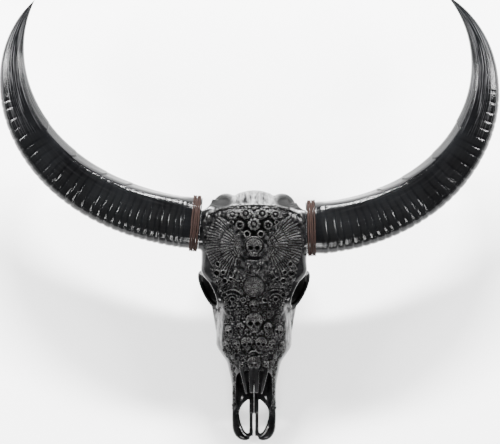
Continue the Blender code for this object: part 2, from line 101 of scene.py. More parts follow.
HORNS = {
    "left": dict(side=-1, root_x=110.0, root_y=448.0, length=696.0, half_width=53.5,
                 headings=(6, 48.5, 128), taper=2.85, slope=0.037, ridges=29, seed=3),
    "right": dict(side=1, root_x=107.0, root_y=439.0, length=721.0, half_width=54.5,
                  headings=(2, 54.7, 140.5), taper=2.6, slope=0.088, ridges=28, seed=8),
}
HORN_ROOT_Z, HORN_DIP, HORN_RISE = 157.0, 34.0, 96.0
NECK_HALF_WIDTH, NECK_HALF_THICKNESS, NECK_LENGTH = 53.0, 41.0, 21.0
NECK_ROUNDNESS = 2.25
HORN_THINNESS = 0.79

forms = bpy.data.collections.new("forms")
cutters = bpy.data.collections.new("cutters")
skull_parts = bpy.data.collections.new("carved_skull")
for collection in (forms, cutters, skull_parts):
    bpy.context.scene.collection.children.link(collection)


def eased(stations, y):
    """Values at y on a smooth curve through rows of (y, value, value, ...)."""
    last = len(stations) - 1
    i = max(0, min(last - 1, sum(1 for row in stations if row[0] <= y) - 1))
    before, a, b, after = (stations[max(0, min(last, k))] for k in (i - 1, i, i + 1, i + 2))
    span = b[0] - a[0]
    t = (y - a[0]) / span
    values = []
    for k in range(1, len(a)):
        slope_a = (b[k] - before[k]) / (b[0] - before[0]) * span
        slope_b = (after[k] - a[k]) / (after[0] - a[0]) * span
        values.append(
            a[k] * (2 * t**3 - 3 * t**2 + 1)
            + slope_a * (t**3 - 2 * t**2 + t)
            + b[k] * (3 * t**2 - 2 * t**3)
            + slope_b * (t**3 - t**2)
        )
    return values


def rounded(angle, power):
    """A point on a rounded square; a power of 2 gives a circle, a higher one squarer sides."""
    c, s = math.cos(angle), math.sin(angle)
    return (math.copysign(abs(c) ** (2 / power), c), math.copysign(abs(s) ** (2 / power), s))


def linked(name, data, collection):
    obj = bpy.data.objects.new(name, data)
    collection.objects.link(obj)
    return obj


def object_of(name, bm, collection):
    bm.normal_update()
    bmesh.ops.recalc_face_normals(bm, faces=bm.faces)
    mesh = bpy.data.meshes.new(name)
    bm.to_mesh(mesh)
    bm.free()
    return linked(name, mesh, collection)


def add_skin(bm, rings):
    """A closed skin through rings of points, in millimetres."""
    rows = [[bm.verts.new(Vector(p) * MM) for p in ring] for ring in rings]
    count = len(rows[0])
    for a, b in zip(rows, rows[1:]):
        for i in range(count):
            j = (i + 1) % count
            bm.faces.new((a[i], a[j], b[j], b[i]))
    bm.faces.new(rows[0])
    bm.faces.new(reversed(rows[-1]))


def loft(name, rings, collection):
    bm = bmesh.new()
    add_skin(bm, rings)
    return object_of(name, bm, collection)


def body_along_y(name, stations, top_power, low_power, collection, side=1, step=5.0):
    """A loft through rows of (y, half width, lowest z, z of the widest level, highest z)."""
    start, end = stations[0][0], stations[-1][0]
    count = max(3, round((end - start) / step))
    rings = []
    for k in range(count + 1):
        y = start + (end - start) * k / count
        half_width, low, wide_at, high, *apart = eased(stations, min(y, end - 0.001))
        middle = side * apart[0] if apart else 0.0
        ring = []
        for i in range(RING_SIDES):
            angle = 2 * math.pi * i / RING_SIDES
            upper = math.sin(angle) >= 0
            c, s = rounded(angle, top_power if upper else low_power)
            reach = high - wide_at if upper else wide_at - low
            ring.append((middle + half_width * c, y, wide_at + reach * s))
        rings.append(ring)
    return loft(name, rings, collection)


def ellipsoid(name, centre, radii, collection, turn=None):
    bm = bmesh.new()
    bmesh.ops.create_uvsphere(bm, u_segments=48, v_segments=28, radius=1.0)
    placed = Matrix.Translation(Vector(centre) * MM)
    if turn is not None:
        placed = placed @ turn.to_4x4()
    bm.transform(placed @ Matrix.Diagonal((*[r * MM for r in radii], 1.0)))
    return object_of(name, bm, collection)


def box(name, low, high, collection, placed=None):
    bm = bmesh.new()
    bmesh.ops.create_cube(bm, size=1.0)
    size = [(h - l) * MM for l, h in zip(low, high)]
    centre = [(h + l) / 2 * MM for l, h in zip(low, high)]
    bm.transform(Matrix.Translation(centre) @ Matrix.Diagonal((*size, 1.0)))
    if placed is not None:
        bm.transform(placed)
    return object_of(name, bm, collection)


def evaluated_mesh(obj):
    graph = bpy.context.evaluated_depsgraph_get()
    mesh = bpy.data.meshes.new_from_object(obj.evaluated_get(graph), depsgraph=graph)
    mesh.transform(obj.matrix_world)
    return mesh


def bar(name, points, radii, collection, closed=False):
    """A round bar along a smooth curve, with its own radius at each point."""
    curve = bpy.data.curves.new(name, "CURVE")
    curve.dimensions = "3D"
    curve.bevel_depth = MM
    curve.bevel_resolution = 5
    curve.resolution_u = 10
    curve.use_fill_caps = True
    spline = curve.splines.new("BEZIER")
    spline.bezier_points.add(len(points) - 1)
    spline.use_cyclic_u = closed
    for place, point, radius in zip(spline.bezier_points, points, radii):
        place.co = Vector(point) * MM
        place.radius = radius
        place.handle_left_type = place.handle_right_type = "AUTO"
    guide = linked(name, curve, collection)
    bm = bmesh.new()
    bm.from_mesh(evaluated_mesh(guide))
    bmesh.ops.remove_doubles(bm, verts=bm.verts, dist=1e-6)
    bpy.data.objects.remove(guide)
    return object_of(name, bm, collection)


def empty_of(collection):
    for obj in list(collection.objects):
        bpy.data.objects.remove(obj)


def joined(name, objects, collection):
    bm = bmesh.new()
    for obj in objects:
        bm.from_mesh(evaluated_mesh(obj))
    mesh = bpy.data.meshes.new(name)
    bm.to_mesh(mesh)
    bm.free()
    return linked(name, mesh, collection)


def applied(obj):
    mesh = evaluated_mesh(obj)
    obj.modifiers.clear()
    obj.data = mesh
    return obj


def cast_in_one(obj, voxel, rounds):
    """Melts overlapping forms into one skin and softens it, as bone flows from part to part."""
    remesh = obj.modifiers.new("cast", "REMESH")
    remesh.mode = "VOXEL"
    remesh.voxel_size = voxel * MM
    smooth = obj.modifiers.new("soften", "SMOOTH")
    smooth.factor = 0.5
    smooth.iterations = rounds
    return applied(obj)


def boolean(obj, operation, collection):
    cut = obj.modifiers.new(operation.lower(), "BOOLEAN")
    cut.operation = operation
    cut.operand_type = "COLLECTION"
    cut.collection = collection
    cut.solver = "MANIFOLD"
    return applied(obj)


def horn_heading(horn, t):
    base, middle, tip = horn["headings"]
    bend = 2 * (tip + base - 2 * middle)
    return math.radians(base + (tip - base - bend) * t + bend * t * t)


def horn_frame(horn, s):
    """Centre, direction, outer side and upper side of the horn's section at arc length s."""
    side, length = horn["side"], horn["length"]
    x, y, steps = horn["root_x"], horn["root_y"], 60
    ahead = s / steps
    for k in range(steps):
        heading = horn_heading(horn, max(0.0, (k + 0.5) * ahead / length))
        x += math.cos(heading) * ahead
        y += math.sin(heading) * ahead
    heading = horn_heading(horn, max(0.0, s / length))
    beyond = max(0.0, s - NECK_LENGTH) / length
    z = HORN_ROOT_Z - HORN_DIP * beyond + HORN_RISE * beyond**2
    rise = (-HORN_DIP + 2 * HORN_RISE * beyond) / length if beyond > 0 else 0.0
    along = Vector((side * math.cos(heading), math.sin(heading), rise)).normalized()
    outer = Vector((side * math.sin(heading), -math.cos(heading), 0.0))
    upper = outer.cross(along) * side
    return Vector((side * x, y, z)), along, outer, upper


def neck_ring(horn, s, grow):
    centre, _, outer, upper = horn_frame(horn, s)
    ring = []
    for i in range(RING_SIDES):
        across, over = rounded(2 * math.pi * i / RING_SIDES, NECK_ROUNDNESS)
        ring.append(centre + outer * ((NECK_HALF_WIDTH + grow) * across)
                    + upper * ((NECK_HALF_THICKNESS + grow) * over))
    return ring


def orbit_axes(side):
    cf, sf = math.cos(ORBIT_FORWARD), math.sin(ORBIT_FORWARD)
    cu, su = math.cos(ORBIT_UP), math.sin(ORBIT_UP)
    return (Vector((side * cf * cu, -sf * cu, su)), Vector((side * sf, cf, 0.0)),
            Vector((-side * cf * su, sf * su, cu)))


def mirrored_x(points, side):
    return [(side * x, y, z) for x, y, z in points]


body_along_y("face", FACE, 2.5, 2.6, forms)
body_along_y("forehead", FRONTAL, 2.5, 2.0, forms)
body_along_y("braincase", BRAINCASE, 2.2, 2.2, forms)
body_along_y("nape", NAPE, 2.6, 2.2, forms)
ellipsoid("crown_dome", (0, 472, 134), (61, 45.5, 45), forms)
for side in (-1, 1):
    body_along_y("sockets", ALVEOLAR, 2.6, 3.0, forms, side=side)
    cheek = [(64, 258, 90), (73, 288, 91), (87, 316, 91), (98, 346, 94)]
    bar("cheek", mirrored_x(cheek, side), [11, 15, 16.5, 14.5], forms)
    ellipsoid("crown_lobe", (side * 57, 477, 132), (30, 34, 38), forms)
    horn = HORNS["left" if side < 0 else "right"]
    loft("horn_core", [neck_ring(horn, s, g) for s, g in
                       ((-52, -16.0), (-40, -5.0), (-26, 0.0), (-12, 0.0), (8, -0.4))], forms)
    outward, lengthwise, upward = orbit_axes(side)
    x, y, z = ORBIT_CENTRE
    turn = Matrix((outward, lengthwise, upward)).transposed()
    ellipsoid("eye_socket", Vector((side * x, y, z)) - outward * 4,
              (ORBIT_DEPTH, ORBIT_HALF_LENGTH - 1, ORBIT_HALF_HEIGHT - 1), cutters, turn)
    ellipsoid("temporal_fossa", (side * 88, 399, 98), (26, 49, 40), cutters)
    ellipsoid("crown_hollow", (side * 66, 505, 182), (34, 22, 27), cutters)
    ellipsoid("horn_notch", (side * 113, 501, 157), (27, 29, 80), cutters)
body_along_y("nasal_cavity", NASAL_CAVITY, 3.0, 2.6, cutters)
ellipsoid("choanae", (0, 328, 52), (19, 36, 26), cutters)
ellipsoid("foramen_magnum", (0, 498, 86), (18, 46, 18), cutters)
skull = joined("skull", forms.objects, skull_parts)
empty_of(forms)
cast_in_one(skull, 1.6, 8)
boolean(skull, "DIFFERENCE", cutters)
empty_of(cutters)

for side in (-1, 1):
    outward, lengthwise, upward = orbit_axes(side)
    centre = Vector((side * ORBIT_CENTRE[0], *ORBIT_CENTRE[1:]))
    rim, rim_radii = [], []
    for k in range(16):
        angle = 2 * math.pi * k / 16
        rim.append(centre + lengthwise * (ORBIT_HALF_LENGTH * math.cos(angle))
                   + upward * (ORBIT_HALF_HEIGHT * math.sin(angle)))
        rim_radii.append(3.4 + 2.8 * (0.5 + 0.5 * math.sin(angle)))
    bar("orbit_rim", rim, rim_radii, forms, closed=True)
    for name, points, radii in (
        ("zygomatic_arch",
         [(98, 338, 103), (99, 366, 99), (94, 402, 98), (80, 430, 101), (56, 444, 98)],
         [7.5, 8, 8.5, 11, 14]),
        ("facial_crest",
         [(80, 288, 100), (75, 262, 90), (71, 232, 78), (67, 206, 65), (58, 184, 55)],
         [9, 9, 8, 8, 5]),
        ("lateral_bar",
         [(39, 132, 42), (38.5, 92, 35), (38, 62, 31), (36.5, 42, 28), (32.5, 24, 24.5),
          (26, 14, 23), (17, 10, 21.5), (9, 11, 21)],
         [7.5, 6.8, 7, 8.6, 11, 10.5, 8.5, 5.8]),
        ("medial_bar", [(6.2, 11, 21), (5.9, 30, 22), (5.9, 66, 25)], [4.4, 3.7, 3.5]),
        ("nasal_spike",
         [(27, 162, 137.4), (24.5, 144, 131.6), (20, 122, 123.8), (15.5, 99, 115.6)],
         [4.6, 4.4, 3.5, 2.3]),
        ("paracondylar_process", [(62, 484, 92), (60, 482, 46), (53, 478, -3)], [14, 10, 7]),
        ("pterygoid", [(22, 300, 42), (24, 326, 46), (26, 356, 62)], [4.5, 4, 6]),
    ):
        bar(name, mirrored_x(points, side), radii, forms)
    ellipsoid("condyle", (side * 25, 499, 62), (16, 14, 25), forms)
    ellipsoid("bulla", (side * 36, 452, 50), (13, 22, 17), forms)
    ellipsoid("ear_root", (side * 62, 456, 84), (16, 20, 16), forms)
    bar("nasal_tongue", [(side * 5.5, 160, 137.6), (side * 5.5, 130, 127.7),
                         (side * 5.2, 101, 117.6)], [5.6, 5.2, 3.6], forms)
bar("collar", [(-7, 66, 25.5), (0, 67, 26), (7, 66, 25.5)], [4.6, 4.8, 4.6], forms)
bar("vomer", [(0, 66, 26), (0, 92, 27), (0, 150, 36), (0, 235, 58)], [5.2, 6, 6.5, 9], forms)
bar("skull_base", [(0, 352, 66), (0, 420, 60), (0, 486, 62)], [15, 16, 17], forms)
for side in (-1, 1):
    outline = [(9.8, 88), (18, 82), (28, 70), (30.5, 60), (28, 44), (23, 28), (17, 18.5),
               (11.5, 22), (9.8, 45), (9.8, 70)]
    loft("palate_window", [[(side * x, y, z) for x, y in outline] for z in (-5.0, 60.0)], cutters)
whole = joined("whole", [skull, *forms.objects], skull_parts)
bpy.data.objects.remove(skull)
empty_of(forms)
FINE = 1.15
cast_in_one(whole, FINE, 3)
boolean(whole, "DIFFERENCE", cutters)
empty_of(cutters)
cast_in_one(whole, FINE, 6)

# The carved field, as places from the nose back and half widths from the middle line.
FIELD_Y, FIELD_HALF = np.array([
    (64, 52), (132, 53), (165, 55), (190, 65), (224, 66), (247, 62), (265, 56), (280, 61), (300, 70),
    (317, 77), (337, 85), (358, 89), (370, 91), (388, 97), (407, 104), (455, 104), (470, 95),
    (480, 72), (487, 44), (489, 2), (490, -8), (520, -8),
]).T
BACK_EDGE = slice(-8, -2)


def smooth_step(values, low, high):
    t = np.clip((values - low) / (high - low), 0.0, 1.0)
    return t * t * (3 - 2 * t)


def coordinates(mesh):
    co = np.empty(len(mesh.vertices) * 3)
    mesh.vertices.foreach_get("co", co)
    no = np.empty(len(mesh.vertices) * 3)
    mesh.vertices.foreach_get("normal", no)
    return co.reshape(-1, 3) / MM, no.reshape(-1, 3)


def facing_up(co, no):
    """How far each point belongs to the outer skin seen from above."""
    cell = 2.0
    ix = ((co[:, 0] + 200) / cell).astype(int)
    iy = ((co[:, 1] + 50) / cell).astype(int)
    highest = np.full((220, 320), -1e9)
    np.maximum.at(highest, (ix, iy), co[:, 2])
    spread = highest.copy()
    for dx in (-1, 0, 1):
        for dy in (-1, 0, 1):
            spread = np.maximum(spread, np.roll(np.roll(highest, dx, 0), dy, 1))
    depth = spread[ix, iy] - co[:, 2]
    return smooth_step(no[:, 2], 0.02, 0.25) * (1 - smooth_step(depth, 7.0, 10.0))


def back_edge(x):
    """Where the field ends under the crown, at x from the middle line."""
    return np.interp(np.abs(x), FIELD_HALF[BACK_EDGE][::-1], FIELD_Y[BACK_EDGE][::-1])


def store(mesh, name, values):
    layer = mesh.attributes.new(name, "FLOAT", "POINT")
    layer.data.foreach_set("value", np.ascontiguousarray(values, dtype=np.float32).ravel())


def field_mask(co, no):
    half = np.interp(co[:, 1], FIELD_Y, FIELD_HALF)
    inside = smooth_step(half - np.abs(co[:, 0]), -0.8, 1.6)
    ends = smooth_step(co[:, 1], 150, 156)
    wall = smooth_step(np.abs(co[:, 0]), 37.5, 40) * smooth_step(co[:, 1], 64, 72)
    wall = wall * smooth_step(np.sign(co[:, 0]) * no[:, 0], 0.1, 0.4)
    return facing_up(co, no) * inside * np.maximum(ends, wall)


# More faces where the chisel worked.
co, no = coordinates(whole.data)
worked = field_mask(co, no) > 0.02
bm = bmesh.new()
bm.from_mesh(whole.data)
bm.verts.ensure_lookup_table()
chosen = [e for e in bm.edges if worked[e.verts[0].index] and worked[e.verts[1].index]]
bmesh.ops.subdivide_edges(bm, edges=chosen, cuts=1, use_grid_fill=True)
bmesh.ops.triangulate(bm, faces=[f for f in bm.faces if len(f.verts) > 4])
bm.to_mesh(whole.data)
bm.free()

co, no = coordinates(whole.data)
mask = field_mask(co, no)
field_points = np.flatnonzero(mask > 0.0)
field_points = field_points[np.argsort(co[field_points, 1])]
near, near_normals = co[field_points], no[field_points]
FLOOR = -2.4
height = np.full(len(near), FLOOR)


def seat(x, y):
    """Where a motif sits: the point straight below (x, y), with axes across and along the skin."""
    hit, place, _, _ = whole.ray_cast(Vector((x, y, 400)) * MM, Vector((0, 0, -1)))
    place = np.array(place) / MM if hit else np.array((x, y, 150.0))
    first, last = np.searchsorted(near[:, 1], (place[1] - 8, place[1] + 8))
    close = np.sum((near[first:last] - place) ** 2, axis=1) < 64
    normal = near_normals[first:last][close].mean(0) if close.any() else np.array((0.0, 0.0, 1.0))
    normal /= np.linalg.norm(normal)
    up = np.array((0.0, 1.0, 0.0)) - normal[1] * normal
    up /= np.linalg.norm(up)
    return place, np.cross(up, normal), up


def around(x, y, reach, tilt=0.0):
    """The field's points near a motif, in its own flat coordinates."""
    place, across, up = seat(x, y)
    first, last = np.searchsorted(near[:, 1], (place[1] - reach, place[1] + reach))
    offset = near[first:last] - place
    found = np.flatnonzero(np.sum(offset**2, axis=1) < reach * reach)
    u, v = offset[found] @ across, offset[found] @ up
    found = found + first
    c, s = math.cos(tilt), math.sin(tilt)
    return found, c * u + s * v, -s * u + c * v


def hump(offset, width):
    """A smooth rise to 1 where offset is 0, fading over the width on both sides."""
    return np.exp(-((offset / width) ** 2))


def dome(q):
    """Height of a round dome where q, the squared share of its radius, is under 1, and 0 outside."""
    return np.sqrt(np.clip(1 - q, 0, 1))


def raise_to(found, values):
    height[found] = np.maximum(height[found], values)


def sink_to(found, values):
    height[found] = np.minimum(height[found], values)


def rosette(x, y, radius, petals, tilt=0.0):
    found, u, v = around(x, y, radius * 1.1, tilt)
    r, angle = np.hypot(u, v) / radius, np.arctan2(v, u)
    petal = np.abs(np.cos(angle * petals / 2)) ** 0.6
    edge = 1 - smooth_step(r, 0.76 + 0.18 * petal, 0.86 + 0.18 * petal)
    petals_top = 2.6 * dome(0.8 * r * r) * (0.35 + 0.65 * petal)
    moat = -3.2 * hump(r - 0.42, 0.11)
    button = 3.6 * dome((r / 0.34) ** 2)
    raise_to(found, FLOOR + edge * (2.2 + np.where(r < 0.34, button, petals_top) + moat))


def ring_boss(x, y, radius, depth=5.0):
    """A raised ring round a deep bowl with a bead in it."""
    found, u, v = around(x, y, radius * 1.15)
    r = np.hypot(u, v) / radius
    edge = 1 - smooth_step(r, 0.88, 1.0)
    crest = 4.4 * hump(r - 0.70, 0.24)
    raise_to(found, FLOOR + edge * (1.2 + crest))
    bowl = r < 0.52
    sink_to(found[bowl], 1.4 - depth * dome((r[bowl] / 0.52) ** 2))
    middle = r < 0.22
    raise_to(found[middle], -3.0 + 3.4 * dome((r[middle] / 0.22) ** 2))


def death_head(x, y, width, tilt=0.0, tall=3.8):
    """A small domed head with two sockets, a nose notch and a row of teeth, as on many such skulls."""
    found, u, v = around(x, y, width * 1.6, tilt)
    u, v = u / width, v / width
    crown = dome((u / 0.96) ** 2 + ((v - 0.16) / 0.96) ** 2) ** 0.7
    jaw = 0.85 * dome((u / 0.60) ** 2 + ((v + 0.74) / 0.46) ** 2) ** 0.7
    brow = 0.30 * hump(v - 0.16 + 0.25 * np.abs(u), 0.10) * (np.abs(u) < 0.8)
    inside = (crown > 0) | (jaw > 0)
    body = (np.maximum(crown, jaw) + brow * (crown > 0)) * tall
    height[found[inside]] = (FLOOR + 0.9 + body)[inside]
    border = ~inside & ((u / 1.1) ** 2 + ((v - 0.16) / 1.1) ** 2 < 1)
    sink_to(found[border], FLOOR - 0.6)
    for middle in (-0.38, 0.38):
        q = ((u - middle) / 0.29) ** 2 + ((v + 0.12) / 0.26) ** 2
        socket = q < 1
        sink_to(found[socket], FLOOR + 0.9 + tall * (1 - 1.7 * dome(q[socket])))
    q = (u / (0.06 + 0.14 * np.clip(-v - 0.30, 0, 0.3) / 0.3)) ** 2
    notch = (q < 1) & (v < -0.30) & (v > -0.60)
    height[found[notch]] -= 0.55 * tall
    teeth = (np.abs(v + 0.88) < 0.20) & (np.abs(u) < 0.46)
    height[found[teeth]] -= 0.20 * tall * (np.abs(np.sin(u[teeth] * 14)) < 0.35)
    height[found[teeth & (np.abs(v + 0.88) < 0.045)]] -= 0.30 * tall


def feather_fan(x, y, start, end, first, last, count, lift):
    """Long narrow feathers spread round a point, each with a shaft and fine barbs."""
    found, u, v = around(x, y, end * 1.03)
    side = math.copysign(1.0, x)
    r, angle = np.hypot(u, v), np.degrees(np.arctan2(v, side * u))
    turn = (angle - first + 7.0 * (r / end) ** 2) / (last - first)
    phase = turn * count
    across = np.abs((phase % 1.0) - 0.5) * 2
    hashed = np.sin((np.floor(phase) * 12.9898 + end) * 43.7) * 0.5 + 0.5
    reach = end * (0.93 + 0.05 * hashed) * (1 - 0.05 * across**2)
    inside = (turn > 0) & (turn < 1) & (r > start) & (r < reach)
    vane = 3.6 * dome(across**2) - 1.7
    barbs = 0.22 * np.sin(2 * math.pi * (r + across * 2.6) / 3.1)
    value = FLOOR + 0.4 + lift + vane + barbs
    height[found[inside]] = value[inside]
    rim = (turn > -0.01) & (turn < 1.01) & (r >= reach) & (r < reach + 1.4)
    sink_to(found[rim], FLOOR - 0.8)


def scroll(x, y, radius, first, last, width, lift=2.6):
    """A raised curved band with a groove on each side."""
    found, u, v = around(x, y, radius + width * 1.6)
    if x < 0:
        u = -u
    r, angle = np.hypot(u, v), np.degrees(np.arctan2(v, u)) % 360
    turn = ((angle - first) % 360) / ((last - first) % 360)
    slim = width * dome((2 * turn - 1) ** 4) / 2
    q = np.abs(r - radius) / np.maximum(slim, 1e-3)
    groove = (turn <= 1) & (q >= 1) & (q < 1.6)
    sink_to(found[groove], FLOOR - 0.6)
    inside = (turn <= 1) & (q < 1)
    height[found[inside]] = lift * dome(q[inside] ** 2) - 0.6


def pit(x, y, half_length, half_width, tilt, bottom):
    found, u, v = around(x, y, max(half_length, half_width) * 1.1, tilt)
    q = (u / half_length) ** 2 + (v / half_width) ** 2
    low = q < 1
    sink_to(found[low], bottom * dome(q[low] ** 2) + 0.5)


def bead(x, y, radius):
    found, u, v = around(x, y, radius * 1.1)
    q = (u * u + v * v) / radius**2
    low = q < 1
    height[found[low]] = -1.6 + (radius + 1.0) * dome(q[low])


def stippled_boss(x, y, radius, tall):
    """A low round boss with a punched surface and a groove round it."""
    found, u, v = around(x, y, radius * 1.15)
    q = (u * u + v * v) / radius**2
    inside = q < 1
    punched = 0.35 * np.sin(u[inside] * 2.1) * np.sin(v[inside] * 2.1)
    height[found[inside]] = -1.4 + tall * dome(q[inside]) ** 0.7 + punched
    sink_to(found[(q >= 1) & (q < 1.25)], FLOOR - 0.6)


# A punched, uneven ground first, then feathers, bosses and heads on top.
x, y = near[:, 0], near[:, 1]
ground_u = x / 3.1 + 0.8 * np.sin(y / 4.3) + 0.5 * np.sin(x / 6.7 + y / 11)
ground_v = y / 3.3 + 0.8 * np.sin(x / 3.9) + 0.5 * np.sin(y / 5.9 - x / 13)
height += 1.1 + 1.3 * np.sin(ground_u) * np.sin(ground_v)
height += 0.9 * smooth_step(y, 296, 320)
for side in (-1, 1):
    feather_fan(side * 26, 402, 36, 79, -62, 60, 24, 0.8)
    feather_fan(side * 26, 402, 17, 47, -70, 64, 15, 1.3)
    feather_fan(side * 26, 402, 5, 25, -76, 70, 8, 1.8)
    for x, y, radius, first, last, width in (
        (44, 294, 21, 35, 150, 4.6), (44, 294, 12, 20, 160, 4.0), (30, 345, 15, 200, 340, 3.6),
        (72, 322, 18, 60, 170, 3.6), (62, 352, 22, 190, 280, 3.6), (86, 372, 12, 110, 260, 3.6),
        (22, 400, 19, 300, 60, 3.4),
    ):
        scroll(side * x, y, radius, first, last, width)
    for x, y, radius in ((60, 332, 8.5), (76, 347, 9.5), (74, 366, 7.5), (63, 349, 6.5), (88, 352, 6.0),
                         (44, 294, 7.5), (60, 303, 7.5), (22, 292, 7.0), (47, 335, 6.0)):
        ring_boss(side * x, y, radius)
    for x, y, width, tilt in (
        (33, 263, 9.0, 0.15), (48, 254, 8.0, 0.3), (28, 236, 9.5, 0.1), (51, 228, 12.0, 0.2),
        (36, 201, 10.0, 0.1), (57, 198, 9.5, 0.3), (39, 171, 10.5, 0.15), (24, 177, 6.5, 0.0),
        (46, 148, 7.5, 0.2), (55, 176, 7.0, 0.3), (46, 132, 6.0, 0.2), (45, 117, 5.5, 0.2),
        (44, 104, 5.0, 0.2), (57, 281, 8.0, 0.5), (20, 259, 5.5, 0.0),
    ):
        death_head(side * x, y, width, -side * tilt, min(3.8, 0.42 * width))
    for x, y in ((40, 246), (41, 216), (30, 216), (44, 184), (17, 176), (18, 224), (33, 280), (36, 156)):
        bead(side * x, y, 2.8)

# The sunk triangle over the brow with its bosses.
triangle = (near[:, 1] < 480) & (near[:, 1] > 418 + 0.64 * np.abs(near[:, 0])) & (near[:, 1] > 400)
height[triangle] = FLOOR - 2.2
for side in (-1, 1):
    for x, y, radius, petals in ((17, 469, 12.5, 8), (44, 467, 11.5, 7)):
        rosette(side * x, y, radius, petals, 0.2 * side)
    for x, y, radius in ((29, 445, 10.5), (46, 451, 5.5), (14, 427, 8.5), (31, 468, 4.5)):
        ring_boss(side * x, y, radius)
rosette(0, 447, 13.5, 9)
bead(0, 479, 4.0)
bead(0, 463, 3.4)

# The middle column from brow to nose.
death_head(0, 401, 18.0, 0.0, 4.4)
pit(0, 377, 17, 4.6, 0.0, -6.5)
scroll(0.001, 401, 20.5, 20, 160, 3.4, 3.0)
for x, y, radius in ((-12, 366, 3.6), (12, 366, 3.6), (0, 351, 3.8), (0, 343, 2.6)):
    bead(x, y, radius)
for side in (-1, 1):
    scroll(side * 4, 358, 7.5, 280, 80, 3.2)
    pit(side * 27, 326, 4.2, 8.0, side * 0.5, -5.5)
stippled_boss(0, 319, 22, 4.4)
scroll(0.001, 316, 14, 200, 340, 3.0, 3.6)
death_head(0, 281, 11.5)
death_head(0, 246, 19.0, 0.0, 4.6)
for side in (-1, 1):
    death_head(side * 14.5, 203, 13.0, -side * 0.1, 4.2)
death_head(0, 160, 15.5, 0.0, 4.4)
scroll(0.001, 176, 12.0, 25, 155, 3.6, 3.8)
scroll(0.001, 162, 17.0, 215, 325, 4.2, 4.2)

# Small beads and rings wherever the ground between the motifs is still bare.
fill = np.random.default_rng(5)
for row, y in enumerate(np.arange(68, 352, 6.4)):
    half = float(np.interp(y, FIELD_Y, FIELD_HALF)) - 3
    for x in np.arange(-77 + 3.2 * (row % 2), 78, 6.4):
        place = x + fill.uniform(-0.8, 0.8), y + fill.uniform(-0.8, 0.8)
        size = fill.uniform(2.3, 3.3)
        if abs(place[0]) > half or (y < 150 and abs(place[0]) < 38):
            continue
        found, _, _ = around(*place, size + 0.8)
        if len(found) < 20 or np.percentile(height[found], 80) > FLOOR + 2.4:
            continue
        if size > 2.9:
            ring_boss(*place, size + 0.8, 4.0)
        else:
            bead(*place, size)

# A polished lip along the back edge of the field, and the chisel's unevenness over all of it.
lip = hump(near[:, 1] - back_edge(near[:, 0]) + 3.0, 1.8)
height = np.maximum(height, FLOOR + 4.6 * lip)
height += 0.10 * np.random.default_rng(11).standard_normal(len(height))

weight = mask[field_points]
moved = co.copy()
moved[field_points] += near_normals * (height * weight)[:, None]
whole.data.vertices.foreach_set("co", (moved * MM).ravel())
x, y, z = co.T
relief = np.zeros(len(co), np.float32)
relief[field_points] = height * weight
store(whole.data, "relief", relief)
rim_line = hump(y - back_edge(x) - 0.6, 2.4)
rim_line *= (np.abs(x) < 98) * (z > 175)
store(whole.data, "carved", mask * (1 - rim_line))

# The lower half of each eye socket, its rim and the hollows beside the crown get painted shade, a
# near-black colour, and a rougher, dull finish.
dull_and_shaded = np.zeros(len(co))
for side in (-1, 1):
    out, back, over = (np.array(axis) for axis in orbit_axes(side))
    offset = co - np.array((side * ORBIT_CENTRE[0], *ORBIT_CENTRE[1:]))
    q = np.hypot(offset @ back / ORBIT_HALF_LENGTH, offset @ over / ORBIT_HALF_HEIGHT)
    low_half = 1 - smooth_step(offset @ over, -8.0, 4.0)
    near_by = (np.abs(offset @ out) < 62) & (side * x > 30)
    dull_and_shaded = np.maximum(dull_and_shaded, near_by * (1 - smooth_step(q, 0.86 + 0.42 * low_half, 0.94 + 0.50 * low_half)))
    q = np.hypot((side * x - 70) / 27, (y - 494) / 15)
    dull_and_shaded = np.maximum(dull_and_shaded, 0.95 * (1 - smooth_step(q, 0.7, 1.2)) * (z > 120))

# Painted sheen: edges, cheek walls, the upward-facing crown and the field's back lip turn silvery grey, as
# polished bone reflecting the lamps.
ends = np.empty(len(whole.data.edges) * 2, int)
whole.data.edges.foreach_get("vertices", ends)
neighbours = np.maximum(np.bincount(ends, minlength=len(co)), 1)
first_end, other_end = ends.reshape(-1, 2).T


def neighbour_mean(values):
    total = np.zeros(len(values))
    np.add.at(total, first_end, values[other_end])
    np.add.at(total, other_end, values[first_end])
    return total / neighbours


mean = np.stack([neighbour_mean(axis) for axis in (x, y, z)], axis=1)
bulge = np.sum((co - mean) * no, axis=1) * 4 / (FINE * FINE)
for _ in range(4):
    bulge = 0.5 * bulge + 0.5 * neighbour_mean(bulge)
behind_nose = smooth_step(y, 150, 195)
# Painted highlight along convex edges, weaker in front of the nose.
edge_highlight = smooth_step(bulge, 0.16, 0.42) * (0.25 + 0.75 * behind_nose)
# Painted sheen on the cheek walls.
cheek_wall_sheen = smooth_step(np.abs(x), 58, 68) * smooth_step(y, 176, 200)
cheek_wall_sheen *= 1 - smooth_step(y, 268, 292)
# Painted sheen where the middle of the crown faces up.
crown = smooth_step(y, 484, 492) * smooth_step(z, 110, 140)
crown *= (1 - smooth_step(np.abs(x), 44, 56)) * smooth_step(no[:, 2], -0.05, 0.35)
painted_sheen = np.maximum.reduce((edge_highlight, 0.75 * cheek_wall_sheen, 0.6 * crown, rim_line))
store(whole.data, "dull_and_shaded", dull_and_shaded)
store(whole.data, "painted_sheen", painted_sheen)
whole.data.update()

